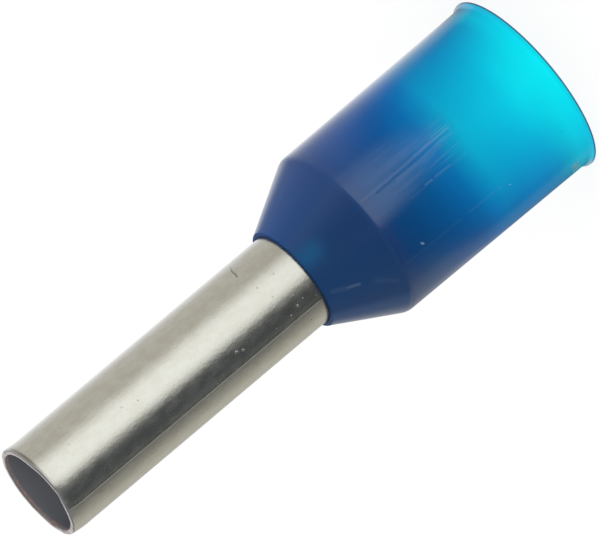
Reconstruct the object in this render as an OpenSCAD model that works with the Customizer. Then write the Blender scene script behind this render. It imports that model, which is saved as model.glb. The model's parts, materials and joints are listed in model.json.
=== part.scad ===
// Insulated wire ferrule: a tinned copper crimp tube seated in a moulded plastic collar.
// It stands on the collar's rim, with the ferrule's axis up +Z. Lengths are in millimetres.

/* [Crimp tube] */
// Inner diameter of the tube, which takes the bare strands
tube_bore_d = 2.2; // [1.9:0.05:2.4]
// Wall of the tube
tube_wall = 0.15; // [0.1:0.01:0.2]
// Length of tube that stands out of the collar
pin_length = 8; // [6:0.5:18]
// Rounding of the sheared edges at both ends of the tube
edge_round = 0.04; // [0.01:0.005:0.045]
// Outer diameter of the flared end, inside the collar
flare_d = 3.8; // [3.4:0.05:3.95]
// Inside radius of the bend between the tube and its flare
bend_r = 0.7; // [0.2:0.05:0.8]

/* [Collar] */
// Overall length of the collar
collar_length = 7.4; // [6:0.1:12]
// Inner diameter of the collar, which takes the wire's insulation
insulation_bore_d = 4.1; // [4:0.05:4.6]
// Thickness of the collar's wall, at the shoulder and over the cone
collar_wall = 0.25; // [0.2:0.01:0.3]
// Thickness of plastic round the tube at the collar's front lip
front_lip_wall = 0.11; // [0.08:0.01:0.16]
// Angle between the cone and the axis, in degrees, which the flare shares
cone_angle = 29; // [26:1:34]
// Draft of the collar's outside, in degrees, wider towards the rim
draft = 0.4; // [0:0.1:1]
// Rounding of the outside shoulder between the cone and the body
shoulder_round = 0.15; // [0.05:0.05:0.4]
// Rounding inside, where the insulation bore turns into the funnel
funnel_round = 0.2; // [0.05:0.05:0.4]
// Rounding of the front lip's outer edge
front_lip_round = 0.05; // [0.01:0.01:0.07]

/* [Rim] */
// How far the moulded bead at the rim stands out of the body
rim_bead = 0.08; // [0.02:0.01:0.12]
// Height over which the body swells into the bead
rim_bead_height = 0.14; // [0.1:0.01:0.25]
// Height of the bead's upright edge
rim_edge = 0.05; // [0.02:0.01:0.08]
// Lead-in at the mouth of the insulation bore
mouth_lead = 0.07; // [0.02:0.01:0.1]

/* [Fits] */
// Clearance between the tube and the collar that grips it
grip_clearance = 0.01; // [0.005:0.005:0.03]

/* [Hidden] */
$fn = 96;
arc_steps = 5;

tube_r = tube_bore_d / 2 + tube_wall;
bore_r = tube_bore_d / 2;
socket_r = insulation_bore_d / 2;
grip_r = tube_r + grip_clearance;
front_z = collar_length;
tip_z = front_z + pin_length;

// The collar's outside, from the front lip down the cone to the shoulder and the drafted body
lip_r = grip_r + front_lip_wall;
shoulder_r = socket_r + collar_wall;
shoulder_z = front_z - (shoulder_r - lip_r) / tan(cone_angle);
body_foot_r = shoulder_r + (shoulder_z - rim_bead_height) * tan(draft);
rim_r = body_foot_r + rim_bead;

// Lines parallel to the cone: the height at which the line at a depth under it has a radius
function under_cone(depth, radius) =
    front_z - (radius - lip_r + depth / cos(cone_angle)) / tan(cone_angle);

seat_top_z = under_cone(collar_wall, grip_r);
seat_foot_z = under_cone(collar_wall, socket_r);
flare_depth = collar_wall + grip_clearance;
bend_z = under_cone(flare_depth, tube_r);
bore_bend_z = under_cone(flare_depth + tube_wall, bore_r);

// The flare's square-cut end, across the sheet from its outer to its inner face
flare_end = [flare_d / 2, under_cone(flare_depth, flare_d / 2)];
flare_inner_end = flare_end - tube_wall * [cos(cone_angle), sin(cone_angle)];

function unit(v) = v / norm(v);
function place(corner) = [corner[0], corner[1]];

// The arc that rounds one corner [radius, height, rounding] between its two neighbours
function rounded_corner(before, corner, after) =
    let (
        u = unit(place(before) - place(corner)),
        w = unit(place(after) - place(corner)),
        half = acos(u * w) / 2,
        r = corner[2],
        centre = place(corner) + unit(u + w) * r / sin(half),
        first = place(corner) + u * r / tan(half) - centre,
        last = place(corner) + w * r / tan(half) - centre,
        start = atan2(first[1], first[0]),
        sweep = atan2(cross(first, last), first * last)
    )
    r == 0 ? [place(corner)] :
    [for (k = [0:arc_steps]) centre
        + r * [cos(start + sweep * k / arc_steps), sin(start + sweep * k / arc_steps)]];

// A closed outline of [radius, height, rounding] corners, with each corner rounded
function rounded(corners) =
    let (n = len(corners))
    [for (i = [0:n - 1])
        each rounded_corner(corners[(i + n - 1) % n], corners[i], corners[(i + 1) % n])];

module turned(corners) {
    rotate_extrude() polygon(rounded(corners));
}

// Thin drawn tube: sheared and deburred at the tip, flared at the end that the collar holds
module crimp_tube() {
    color([0.75, 0.74, 0.70]) turned([
        [bore_r, tip_z, edge_round],
        [tube_r, tip_z, edge_round],
        [tube_r, bend_z, bend_r],
        [flare_end[0], flare_end[1], edge_round],
        [flare_inner_end[0], flare_inner_end[1], edge_round],
        [bore_r, bore_bend_z, bend_r + tube_wall]
    ]);
}

// Moulded collar: grips the tube at the front lip, seats its flare in a funnel, then opens
// into the straight bore for the wire's insulation
module insulating_collar() {
    color([0.03, 0.36, 0.68]) turned([
        [grip_r, front_z, 0],
        [lip_r, front_z, front_lip_round],
        [shoulder_r, shoulder_z, shoulder_round],
        [body_foot_r, rim_bead_height, 0],
        [rim_r, rim_edge, 0],
        [rim_r, 0, 0],
        [socket_r + mouth_lead, 0, 0],
        [socket_r, mouth_lead, 0],
        [socket_r, seat_foot_z, funnel_round],
        [grip_r, seat_top_z, bend_r - grip_clearance]
    ]);
}

crimp_tube();
insulating_collar();
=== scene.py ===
"""An insulated wire ferrule, dressed and lit: a tinned crimp tube seated in a blue plastic collar."""

import json
import logging
import math
from collections.abc import Callable, Iterator
from contextlib import contextmanager
from dataclasses import dataclass, field
from enum import Enum
from functools import reduce
from typing import Any

import bmesh
import bpy
from bpy.types import Material, Node, NodeSocket, NodeTree, Object
from mathutils import Euler, Matrix, Vector


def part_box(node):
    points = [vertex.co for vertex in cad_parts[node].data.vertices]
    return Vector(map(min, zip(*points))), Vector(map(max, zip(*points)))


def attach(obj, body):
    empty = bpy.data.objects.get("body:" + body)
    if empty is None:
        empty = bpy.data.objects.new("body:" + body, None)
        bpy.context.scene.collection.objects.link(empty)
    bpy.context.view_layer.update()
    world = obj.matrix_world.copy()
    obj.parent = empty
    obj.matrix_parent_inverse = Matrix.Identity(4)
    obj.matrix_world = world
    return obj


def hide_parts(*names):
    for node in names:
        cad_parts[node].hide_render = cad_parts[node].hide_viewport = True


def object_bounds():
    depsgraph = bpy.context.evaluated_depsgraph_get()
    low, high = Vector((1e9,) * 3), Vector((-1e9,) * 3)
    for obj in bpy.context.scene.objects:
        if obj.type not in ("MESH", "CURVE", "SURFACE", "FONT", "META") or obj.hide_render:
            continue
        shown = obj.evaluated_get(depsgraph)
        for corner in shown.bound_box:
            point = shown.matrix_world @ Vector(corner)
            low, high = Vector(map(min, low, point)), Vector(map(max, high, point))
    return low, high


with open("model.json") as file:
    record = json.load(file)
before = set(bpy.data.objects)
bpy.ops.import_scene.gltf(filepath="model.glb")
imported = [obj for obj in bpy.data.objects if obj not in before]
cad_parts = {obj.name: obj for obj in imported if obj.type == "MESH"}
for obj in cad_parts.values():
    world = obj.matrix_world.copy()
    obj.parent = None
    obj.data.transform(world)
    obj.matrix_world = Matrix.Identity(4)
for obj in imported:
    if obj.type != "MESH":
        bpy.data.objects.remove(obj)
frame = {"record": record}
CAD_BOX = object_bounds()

LOG = logging.getLogger("wire_ferrule")

MM = 0.001
FULL_TURN = math.tau
MERGE_DISTANCE = 1e-7
SAME_PLACE_MM = 1e-4
SMALLEST_SQUARE = 1e-6
MARK_ENDS = ("from_azimuth", "from_height", "to_azimuth", "to_height")
SMOOTH_ANGLE = math.radians(32)

Color = tuple[float, float, float]
Span = tuple[float, float]
Stop = tuple[float, Color]
Value = float | tuple | NodeSocket

BLACK: Color = (0.0, 0.0, 0.0)
WHITE: Color = (1.0, 1.0, 1.0)


# Hand work in edit mode


def select_only(obj: Object) -> None:
    """Deselect everything, then select one object and make it active.

    Args:
        obj: The object to work on.
    """
    bpy.ops.object.select_all(action="DESELECT")
    obj.select_set(True)
    bpy.context.view_layer.objects.active = obj


def add_object(operator: Callable[..., Any], name: str, **settings: Any) -> Object:
    """Add one object, named and alone in the selection.

    Args:
        operator: The operator that adds it.
        name: Its name, and its data's.
        **settings: The operator's own settings.

    Returns:
        The object.
    """
    bpy.ops.object.select_all(action="DESELECT")
    operator(**settings)
    made = bpy.context.active_object
    made.name = made.data.name = name
    return made


@contextmanager
def edit_mode(obj: Object) -> Iterator[None]:
    """Keep one object in edit mode while the block runs.

    Args:
        obj: The object to edit.
    """
    select_only(obj)
    bpy.ops.object.mode_set(mode="EDIT")
    bpy.ops.mesh.select_mode(type="VERT")
    yield
    bpy.ops.object.mode_set(mode="OBJECT")


def pick(obj: Object, wanted: Callable[[Vector], bool]) -> None:
    """Select the vertices of the mesh in edit mode whose place is wanted.

    Args:
        obj: The object in edit mode.
        wanted: Says whether a vertex at this place, in millimetres, is wanted.
    """
    bpy.ops.mesh.select_all(action="DESELECT")
    mesh = bmesh.from_edit_mesh(obj.data)
    for vertex in mesh.verts:
        vertex.select = wanted(vertex.co / MM)
    mesh.select_flush(True)
    bmesh.update_edit_mesh(obj.data)


def surface_place(azimuth: float, height: float, radius: float) -> Vector:
    """Return the point at an azimuth in degrees, from the front (-Y) towards the left (-X)."""
    turn = math.radians(azimuth)
    return Vector((-radius * math.sin(turn), -radius * math.cos(turn), height))


def azimuth_of(place: Vector) -> float:
    """Return a point's azimuth in degrees, from the front (-Y) towards the left (-X)."""
    return math.degrees(math.atan2(-place.x, -place.y))


# Turned pieces


@dataclass(frozen=True)
class Corner:
    """One corner of a turned outline, in millimetres.

    Attributes:
        radius: Distance from the axis.
        height: Height up the axis.
        rounding: Radius that rounds the corner, or 0 for a sharp one.
    """

    radius: float
    height: float
    rounding: float = 0.0

    def place(self) -> Vector:
        """Return the corner as a point of the XZ plane, in metres."""
        return Vector((self.radius, 0.0, self.height)) * MM


@dataclass
class TurnedPiece:
    """A wall of revolution, drawn as a closed outline and spun round the axis.

    Attributes:
        name: The piece's name.
        node: The solid that it stands for.
        slot: The record's material slot for its finish; not used.
        sides: Steps of the spin.
        ring_pitch: Longest distance between two rings on a straight stretch.
        arc_steps: Steps of each rounded corner.
    """

    name: str
    node: str
    slot: str
    sides: int = 320
    ring_pitch: float = 0.12
    arc_steps: int = 6

    def corners(self) -> list[Corner]:
        """Return the outline's corners in order; each piece gives its own."""
        raise NotImplementedError

    def turn(self) -> Object:
        """Draw the outline, round its corners and spin it into a closed wall.

        Returns:
            The piece, at the origin, with its place in its mesh.
        """
        corners = self.corners()
        plane = bpy.ops.mesh.primitive_plane_add
        obj = add_object(plane, self.name, size=MM, location=corners[0].place())
        bpy.ops.object.transform_apply(location=True, rotation=True, scale=True)
        with edit_mode(obj):
            self._draw(corners)
            self._round(obj, corners)
            self._space_rings(obj)
            self._spin(obj)
        select_only(obj)
        bpy.ops.object.shade_smooth_by_angle(angle=SMOOTH_ANGLE)
        return obj

    def _draw(self, corners: list[Corner]) -> None:
        """Shrink the plane to one vertex and pull the outline out of it, corner by corner.

        Args:
            corners: The outline's corners.
        """
        bpy.ops.mesh.select_all(action="SELECT")
        bpy.ops.mesh.merge(type="CENTER")
        for here, there in zip(corners, corners[1:]):
            step = there.place() - here.place()
            bpy.ops.mesh.extrude_vertices_move(TRANSFORM_OT_translate={"value": step})
        ends = (corners[0].place() / MM, corners[-1].place() / MM)
        near = SAME_PLACE_MM
        pick(bpy.context.active_object, lambda p: any((p - end).length < near for end in ends))
        bpy.ops.mesh.edge_face_add()

    def _round(self, obj: Object, corners: list[Corner]) -> None:
        """Round each corner that has a rounding with a vertex bevel.

        Args:
            obj: The piece in edit mode.
            corners: The outline's corners.
        """
        count = len(corners)
        for index, corner in enumerate(corners):
            if not corner.rounding:
                continue
            before = corners[index - 1].place() - corner.place()
            after = corners[(index + 1) % count].place() - corner.place()
            reach = corner.rounding / math.tan(before.angle(after) / 2)
            here = corner.place() / MM
            pick(obj, lambda p: (p - here).length < SAME_PLACE_MM)
            bpy.ops.mesh.bevel(
                offset_type="ABSOLUTE",
                offset=reach * MM,
                segments=self.arc_steps,
                profile=0.5,
                affect="VERTICES",
            )

    def _space_rings(self, obj: Object) -> None:
        """Cut each straight stretch into equal lengths no longer than the ring pitch.

        Args:
            obj: The piece in edit mode.
        """
        while True:
            bpy.ops.mesh.select_all(action="DESELECT")
            mesh = bmesh.from_edit_mesh(obj.data)
            longest = max(mesh.edges, key=lambda edge: edge.calc_length())
            cuts = math.ceil(longest.calc_length() / (self.ring_pitch * MM)) - 1
            if cuts < 1:
                return
            longest.select_set(True)
            bmesh.update_edit_mesh(obj.data)
            bpy.ops.mesh.subdivide(number_cuts=cuts)

    def _spin(self, obj: Object) -> None:
        """Spin the outline a full turn, close the seam and turn the faces outwards.

        Args:
            obj: The piece in edit mode.
        """
        bpy.ops.mesh.select_all(action="SELECT")
        bpy.ops.mesh.spin(steps=self.sides, angle=FULL_TURN, center=(0, 0, 0), axis=(0, 0, 1))
        bpy.ops.mesh.select_all(action="SELECT")
        bpy.ops.mesh.remove_doubles(threshold=MERGE_DISTANCE)
        bpy.ops.mesh.select_all(action="SELECT")
        bpy.ops.mesh.normals_make_consistent(inside=False)
        mesh = bmesh.from_edit_mesh(obj.data)
        if mesh.calc_volume(signed=True) < 0:
            bpy.ops.mesh.flip_normals()

    def knock(
        self, obj: Object, wanted: Callable[[Vector], bool], move: Vector, reach: float
    ) -> None:
        """Move part of the surface, and what lies round it with a soft falloff, as a knock does.

        Args:
            obj: The piece.
            wanted: Says whether a place, in millimetres, moves the whole way.
            move: How far it moves, in millimetres.
            reach: How far from it the surface still moves, in millimetres.
        """
        with edit_mode(obj):
            pick(obj, wanted)
            bpy.ops.transform.translate(
                value=move * MM,
                use_proportional_edit=True,
                use_proportional_connected=True,
                proportional_edit_falloff="SMOOTH",
                proportional_size=reach * MM,
            )

    def press(self, obj: Object, middle: Vector, move: Vector, reach: float) -> None:
        """Knock a small round spot of the surface, a third of the reach wide on each side."""
        self.knock(obj, lambda place: (place - middle).length < reach / 3, move, reach)

    def settle(self, obj: Object, material: Material) -> Object:
        """Dress the piece and hand it to the frame.

        Args:
            obj: The finished mesh.
            material: Its finish.

        Returns:
            The same object.
        """
        obj.data.materials.clear()
        obj.data.materials.append(material)
        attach(obj, "root")
        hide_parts(self.node)
        faces = len(obj.data.polygons)
        LOG.info("%s: %d faces, %s finish", obj.name, faces, material.name)
        return obj


@dataclass(frozen=True)
class FerruleSizes:
    """Sizes of the ferrule, in millimetres, read from the frame where it states them.

    Attributes:
        bore_r: Radius of the tube's bore.
        tube_r: Outer radius of the tube.
        tip_z: Height of the tube's tip.
        flare_r: Outer radius of the flare's end.
        socket_r: Radius of the bore for the insulation.
        rim_r: Outer radius of the rim's bead.
        front_z: Height of the collar's front lip.
        cone_angle: Degrees between the cone and the axis.
        collar_wall: Thickness of the collar's wall.
        lip_wall: Thickness of plastic round the tube at the front lip.
        clearance: Gap between the tube and the collar that grips it.
        bend_r: Inside radius of the bend between the tube and its flare.
        draft: Degrees of draft on the collar's body; not used.
        bead: How far the rim's bead stands out.
        bead_height: Height over which the body swells into the bead.
        bead_edge: Height of the bead's upright edge.
        mouth_lead: Lead-in at the mouth of the insulation bore.
    """

    bore_r: float
    tube_r: float
    tip_z: float
    flare_r: float
    socket_r: float
    rim_r: float
    front_z: float
    cone_angle: float = 29.0
    collar_wall: float = 0.25
    lip_wall: float = 0.11
    clearance: float = 0.01
    bend_r: float = 0.7
    draft: float = 0.4
    bead: float = 0.08
    bead_height: float = 0.14
    bead_edge: float = 0.05
    mouth_lead: float = 0.07

    @classmethod
    def from_frame(cls) -> "FerruleSizes":
        """Read the sizes that the frame's mounts and boxes give.

        Returns:
            The sizes.
        """
        mounts = {mount["name"]: mount["dims"] for mount in frame["record"]["mounts"]}
        tube_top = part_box("crimp_tube")[1] / MM
        collar_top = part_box("insulating_collar")[1] / MM
        return cls(
            bore_r=mounts["strand_bore"]["r_mm"],
            tube_r=mounts["terminal_pin"]["r_mm"],
            tip_z=tube_top.z,
            flare_r=tube_top.x,
            socket_r=mounts["insulation_bore"]["r_mm"],
            rim_r=collar_top.x,
            front_z=collar_top.z,
        )

    @property
    def grip_r(self) -> float:
        """Radius of the hole in the collar that grips the tube."""
        return self.tube_r + self.clearance

    @property
    def lip_r(self) -> float:
        """Outer radius of the front lip."""
        return self.grip_r + self.lip_wall

    @property
    def shoulder_r(self) -> float:
        """Outer radius at the shoulder."""
        return self.socket_r + self.collar_wall

    @property
    def shoulder_z(self) -> float:
        """Height of the shoulder."""
        return self.front_z - (self.shoulder_r - self.lip_r) / math.tan(self.slope)

    @property
    def slope(self) -> float:
        """Angle between the cone and the axis, in radians."""
        return math.radians(self.cone_angle)

    def under_cone(self, depth: float, radius: float) -> float:
        """Return the height at which a line at a depth under the cone has a radius."""
        rise = radius - self.lip_r + depth / math.cos(self.slope)
        return self.front_z - rise / math.tan(self.slope)


@dataclass
class CrimpTube(TurnedPiece):
    """The drawn tube: sheared at its tip, flared at the end that the collar holds.

    Attributes:
        sizes: The ferrule's sizes.
        edge_round: Rounding of the sheared edges.
        seam_azimuth: Where the drawing die left its fine raised line.
        seam_rise: How far that line stands up.
        seam_end: How far below the tip that line ends.
        shear_depth: How deep the sheared lip's unevenness reaches down the tube.
        shear_wave: How far the sheared lip wavers.
        shear_pitch: Length of its waves.
        lip_shift: How far the sheared lip is pushed to the side.
        lip_depth: Depth of tube that is pushed the whole way.
        lip_reach: How far from there the tube still moves.
        sags: Places where the sheared lip sags: azimuth, depth and reach.
    """

    sizes: FerruleSizes = field(kw_only=True)
    edge_round: float = 0.04
    seam_azimuth: float = 37.0
    seam_rise: float = 0.024
    seam_end: float = 0.1
    shear_depth: float = 0.16
    shear_wave: float = 0.02
    shear_pitch: float = 0.35
    lip_shift: float = 0.028
    lip_depth: float = 0.08
    lip_reach: float = 0.35
    sags: tuple[tuple[float, float, float], ...] = ((2, 0.028, 0.60), (15, 0.014, 0.20))

    def corners(self) -> list[Corner]:
        """Lay out the wall, down the outside and back up the bore.

        Returns:
            Its corners.
        """
        s = self.sizes
        wall = s.tube_r - s.bore_r
        depth = s.collar_wall + s.clearance
        flare_z = s.under_cone(depth, s.flare_r)
        return [
            Corner(s.bore_r, s.tip_z, self.edge_round),
            Corner(s.tube_r, s.tip_z, self.edge_round),
            Corner(s.tube_r, s.under_cone(depth, s.tube_r), s.bend_r),
            Corner(s.flare_r, flare_z, self.edge_round),
            Corner(
                s.flare_r - wall * math.cos(s.slope),
                flare_z - wall * math.sin(s.slope),
                self.edge_round,
            ),
            Corner(s.bore_r, s.under_cone(depth + wall, s.bore_r), s.bend_r + wall),
        ]

    def build(self, material: Material) -> Object:
        """Turn the tube, raise its die line, roughen its lip and dress it.

        Args:
            material: The tube's finish.

        Returns:
            The piece.
        """
        obj = self.turn()
        self._raise_die_line(obj)
        self._waver_lip(obj)
        self._shift_lip(obj)
        return self.settle(obj, material)

    def _shift_lip(self, obj: Object) -> None:
        """Push the sheared lip a little to one side and let it sag where the blade came down.

        Args:
            obj: The piece.
        """
        s = self.sizes
        foot = s.tip_z - self.lip_depth
        aside = Vector((self.lip_shift, 0, 0))
        self.knock(obj, lambda place: place.z > foot, aside, self.lip_reach)
        for azimuth, depth, reach in self.sags:
            middle = surface_place(azimuth, s.tip_z, s.tube_r)
            self.press(obj, middle, Vector((0, 0, -depth)), reach)

    def _raise_die_line(self, obj: Object) -> None:
        """Pull one column of the outside out into the fine line that the die left.

        Args:
            obj: The piece.
        """
        s = self.sizes
        step = 360 / self.sides
        foot, top = s.front_z, s.tip_z - self.seam_end
        wall_middle_r = (s.bore_r + s.tube_r) / 2
        outward = surface_place(self.seam_azimuth, 0, 1)
        with edit_mode(obj):
            pick(
                obj,
                lambda place: abs(azimuth_of(place) - self.seam_azimuth) < step / 2
                and foot < place.z < top
                and place.xy.length > wall_middle_r,
            )
            bpy.ops.transform.translate(value=outward * self.seam_rise * MM)

    def _waver_lip(self, obj: Object) -> None:
        """Make the sheared lip slightly uneven, inwards only.

        Args:
            obj: The piece.
        """
        edge_z = self.sizes.tip_z - self.shear_depth
        lip = obj.vertex_groups.new(name="sheared_lip")
        for vertex in obj.data.vertices:
            height = vertex.co.z / MM
            if height > edge_z:
                lip.add([vertex.index], (height - edge_z) / self.shear_depth, "REPLACE")
        grain = bpy.data.textures.new("lip_grain", "CLOUDS")
        grain.noise_scale = self.shear_pitch * MM
        select_only(obj)
        bpy.ops.object.modifier_add(type="DISPLACE")
        waver = obj.modifiers[-1]
        waver.texture = grain
        waver.texture_coords = "LOCAL"
        waver.vertex_group = lip.name
        waver.mid_level = 1.0
        waver.strength = self.shear_wave * MM
        bpy.ops.object.modifier_apply(modifier=waver.name)


@dataclass(frozen=True)
class Dent:
    """A small dent or bump in a surface, in degrees and millimetres.

    Attributes:
        azimuth: Degrees round the axis from the front.
        height: Height up the axis.
        depth: How far the middle moves towards the axis; a negative depth stands out.
        reach: How far from the middle the surface still moves.
    """

    azimuth: float
    height: float
    depth: float
    reach: float


@dataclass
class InsulatingCollar(TurnedPiece):
    """The moulded collar: lip, cone, shoulder, body and bead outside, funnel and bore inside.

    Attributes:
        sizes: The ferrule's sizes.
        lip_round: Rounding of the front lip.
        shoulder_round: Rounding of the shoulder.
        funnel_round: Rounding where the bore turns into the funnel.
        bead_blend: Rounding where the body swells into the bead.
        bead_sweep: Rounding of the hollow between the body and the bead.
        bead_round: Rounding of the rim's edges.
        dents: Knocks in the outside.
    """

    sizes: FerruleSizes = field(kw_only=True)
    lip_round: float = 0.02
    shoulder_round: float = 0.4
    funnel_round: float = 0.2
    bead_blend: float = 0.2
    bead_sweep: float = 0.06
    bead_round: float = 0.015
    dents: tuple[Dent, ...] = (
        Dent(azimuth=76, height=0.54, depth=0.018, reach=0.20),
        Dent(azimuth=34, height=5.0, depth=0.010, reach=0.09),
    )

    def corners(self) -> list[Corner]:
        """Lay out the wall, down the outside and back up the bore.

        Returns:
            Its corners.
        """
        s = self.sizes
        body_foot_r = s.rim_r - s.bead
        hollow_z = s.bead_edge + 0.4 * (s.bead_height - s.bead_edge)
        return [
            Corner(s.grip_r, s.front_z),
            Corner(s.lip_r, s.front_z, self.lip_round),
            Corner(s.shoulder_r, s.shoulder_z, self.shoulder_round),
            Corner(body_foot_r, s.bead_height, self.bead_blend),
            Corner(body_foot_r + 0.25 * s.bead, hollow_z, self.bead_sweep),
            Corner(s.rim_r, s.bead_edge, self.bead_round),
            Corner(s.rim_r, 0.0, self.bead_round),
            Corner(s.socket_r + s.mouth_lead, 0.0, self.bead_round),
            Corner(s.socket_r, s.mouth_lead, self.bead_round),
            Corner(s.socket_r, s.under_cone(s.collar_wall, s.socket_r), self.funnel_round),
            Corner(s.grip_r, s.under_cone(s.collar_wall, s.grip_r), s.bend_r - s.clearance),
        ]

    def build(self, material: Material) -> Object:
        """Turn the collar, knock its dents in and dress it.

        Args:
            material: The collar's finish.

        Returns:
            The piece.
        """
        obj = self.turn()
        body_r = self.sizes.rim_r - self.sizes.bead
        for dent in self.dents:
            middle = surface_place(dent.azimuth, dent.height, body_r)
            move = surface_place(dent.azimuth, 0, -dent.depth)
            self.press(obj, middle, move, dent.reach)
        return self.settle(obj, material)


# Node sheets and shared surface effects


class Sheet:
    """A node tree with short ways to add nodes and wire them."""

    def __init__(self, tree: NodeTree) -> None:
        """Take the tree to draw on."""
        self.tree = tree

    def node(self, kind: str, inputs: dict[str | int, Value] | None = None, **settings: Any) -> Node:
        """Add a node.

        Args:
            kind: The node's type, without its ShaderNode prefix.
            inputs: Values or sockets for its inputs, by name or number.
            **settings: The node's own settings.

        Returns:
            The node.
        """
        made = self.tree.nodes.new("ShaderNode" + kind)
        for name, setting in settings.items():
            setattr(made, name, setting)
        for key, value in (inputs or {}).items():
            self.feed(made.inputs[key], value)
        return made

    def feed(self, socket: NodeSocket, value: Value) -> None:
        """Wire a socket, or set it to a plain value.

        Args:
            socket: The input to feed.
            value: What feeds it.
        """
        if isinstance(value, NodeSocket):
            self.tree.links.new(value, socket)
        elif isinstance(value, tuple) and socket.type == "RGBA":
            socket.default_value = (*value, 1.0)
        else:
            socket.default_value = value

    def math(self, operation: str, *values: Value, clamp: bool = False) -> NodeSocket:
        """Return the result of a Math node."""
        inputs = dict(enumerate(values))
        return self.node("Math", inputs, operation=operation, use_clamp=clamp).outputs[0]

    def times(self, *factors: Value) -> NodeSocket:
        """Return the product of several numbers."""
        return reduce(lambda first, second: self.math("MULTIPLY", first, second), factors)

    def most(self, *values: Value) -> NodeSocket:
        """Return the greatest of several numbers."""
        return reduce(lambda first, second: self.math("MAXIMUM", first, second), values)

    def rest(self, share: Value) -> NodeSocket:
        """Return what a share leaves of 1."""
        return self.math("SUBTRACT", 1.0, share)

    def layered(self, base: Value, *layers: tuple[Value, Value]) -> NodeSocket:
        """Add layers to a number.

        Args:
            base: The number.
            *layers: Each layer with the amount that it is multiplied by.

        Returns:
            The sum.
        """
        for layer, amount in layers:
            base = self.math("MULTIPLY_ADD", layer, amount, base)
        return base

    def painted(self, color: Value, *coats: tuple[Value, Value]) -> NodeSocket:
        """Paint coats over a colour, one after another.

        Args:
            color: The colour.
            *coats: The share by which each coat covers what is under it, and its colour.

        Returns:
            The colour on top.
        """
        for share, coat in coats:
            color = self.blend(share, color, coat)
        return color

    def blend(self, share: Value, first: Value, second: Value) -> NodeSocket:
        """Return a colour mixed from two by a share."""
        return self.node("Mix", {0: share, 6: first, 7: second}, data_type="RGBA").outputs[2]

    def between(self, share: Value, first: Value, second: Value) -> NodeSocket:
        """Return a number mixed from two by a share."""
        return self.node("Mix", {0: share, 2: first, 3: second}, data_type="FLOAT").outputs[0]

    def step(self, value: Value, low: Value, high: Value) -> NodeSocket:
        """Return a smooth step from 0 at low to 1 at high."""
        inputs = {"Value": value, "From Min": low, "From Max": high}
        return self.node("MapRange", inputs, interpolation_type="SMOOTHSTEP").outputs[0]

    def azimuth_of(self, axes: Any) -> NodeSocket:
        """Return the azimuth, in degrees, of a direction that is split into its axes."""
        across, forward = (self.times(axes[name], -1.0) for name in "XY")
        return self.math("DEGREES", self.math("ARCTAN2", across, forward))

    def ramp(self, share: Value, stops: list[Stop]) -> NodeSocket:
        """Return a colour ramp's colour.

        Args:
            share: Place along the ramp, from 0 to 1.
            stops: Places and colours, in rising order.

        Returns:
            The colour socket.
        """
        node = self.node("ValToRGB", {"Fac": share})
        elements = node.color_ramp.elements
        while len(elements) < len(stops):
            elements.new(1.0)
        for element, (place, color) in zip(elements, stops):
            element.position = place
            element.color = (*color, 1.0)
        return node.outputs["Color"]

    def light(self, kind: str, color: Value, level: Value) -> NodeSocket:
        """Return a Background or Emission shader of a colour and a level."""
        return self.node(kind, {"Color": color, "Strength": level}).outputs[0]

    def either(self, share: Value, first: NodeSocket, second: NodeSocket) -> NodeSocket:
        """Return a shader mixed from two by a share."""
        return self.node("MixShader", {0: share, 1: first, 2: second}).outputs[0]

    def group(self, effect: "Effect", **values: Value) -> Any:
        """Place a shared effect with its own values.

        Args:
            effect: The effect.
            **values: Its inputs by name, where underscores stand for spaces.

        Returns:
            The outputs, by name.
        """
        made = self.tree.nodes.new("ShaderNodeGroup")
        made.node_tree = effect.tree()
        for name, value in values.items():
            self.feed(made.inputs[name.replace("_", " ").capitalize()], value)
        return made.outputs


class Effect:
    """A surface effect that more than one finish uses, as one shared node group."""

    name = "effect"
    inputs: dict[str, float | tuple] = {}
    outputs: dict[str, str] = {}

    def tree(self) -> NodeTree:
        """Draw the group the first time that it is asked for.

        Returns:
            The group.
        """
        known = bpy.data.node_groups.get(self.name)
        if known:
            return known
        made = bpy.data.node_groups.new(self.name, "ShaderNodeTree")
        for name, default in self.inputs.items():
            kind = "NodeSocketVector" if isinstance(default, tuple) else "NodeSocketFloat"
            made.interface.new_socket(name, in_out="INPUT", socket_type=kind).default_value = default
        for name, kind in self.outputs.items():
            made.interface.new_socket(name, in_out="OUTPUT", socket_type="NodeSocket" + kind)
        inlet = made.nodes.new("NodeGroupInput")
        outlet = made.nodes.new("NodeGroupOutput")
        sheet = Sheet(made)
        for name, result in self.draw(sheet, inlet.outputs).items():
            sheet.feed(outlet.inputs[name], result)
        return made

    def draw(self, sheet: Sheet, read: Any) -> dict[str, NodeSocket]:
        """Draw the group's inside; each effect gives its own.

        Args:
            sheet: The group's sheet.
            read: The group's inputs, by name.

        Returns:
            The group's outputs, by name.
        """
        raise NotImplementedError


class TurnedPlace(Effect):
    """Where a point lies on a turned piece: round the axis in degrees, up it in millimetres."""

    name = "turned_place"
    outputs = {"Point": "Vector", "Azimuth": "Float", "Height": "Float", "Radius": "Float"}

    def draw(self, sheet: Sheet, read: Any) -> dict[str, NodeSocket]:
        """Turn object coordinates into millimetres and degrees.

        Args:
            sheet: The group's sheet.
            read: The group's inputs, of which there are none.

        Returns:
            The point, its azimuth, its height and its distance from the axis.
        """
        object_place = sheet.node("TexCoord").outputs["Object"]
        scaled = sheet.node("VectorMath", {0: object_place, "Scale": 1 / MM}, operation="SCALE")
        axes = sheet.node("SeparateXYZ", {0: scaled.outputs[0]}).outputs
        flat = sheet.node("CombineXYZ", {"X": axes["X"], "Y": axes["Y"]}).outputs[0]
        return {
            "Point": scaled.outputs[0],
            "Azimuth": sheet.azimuth_of(axes),
            "Height": axes["Z"],
            "Radius": sheet.node("VectorMath", {0: flat}, operation="LENGTH").outputs["Value"],
        }


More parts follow.
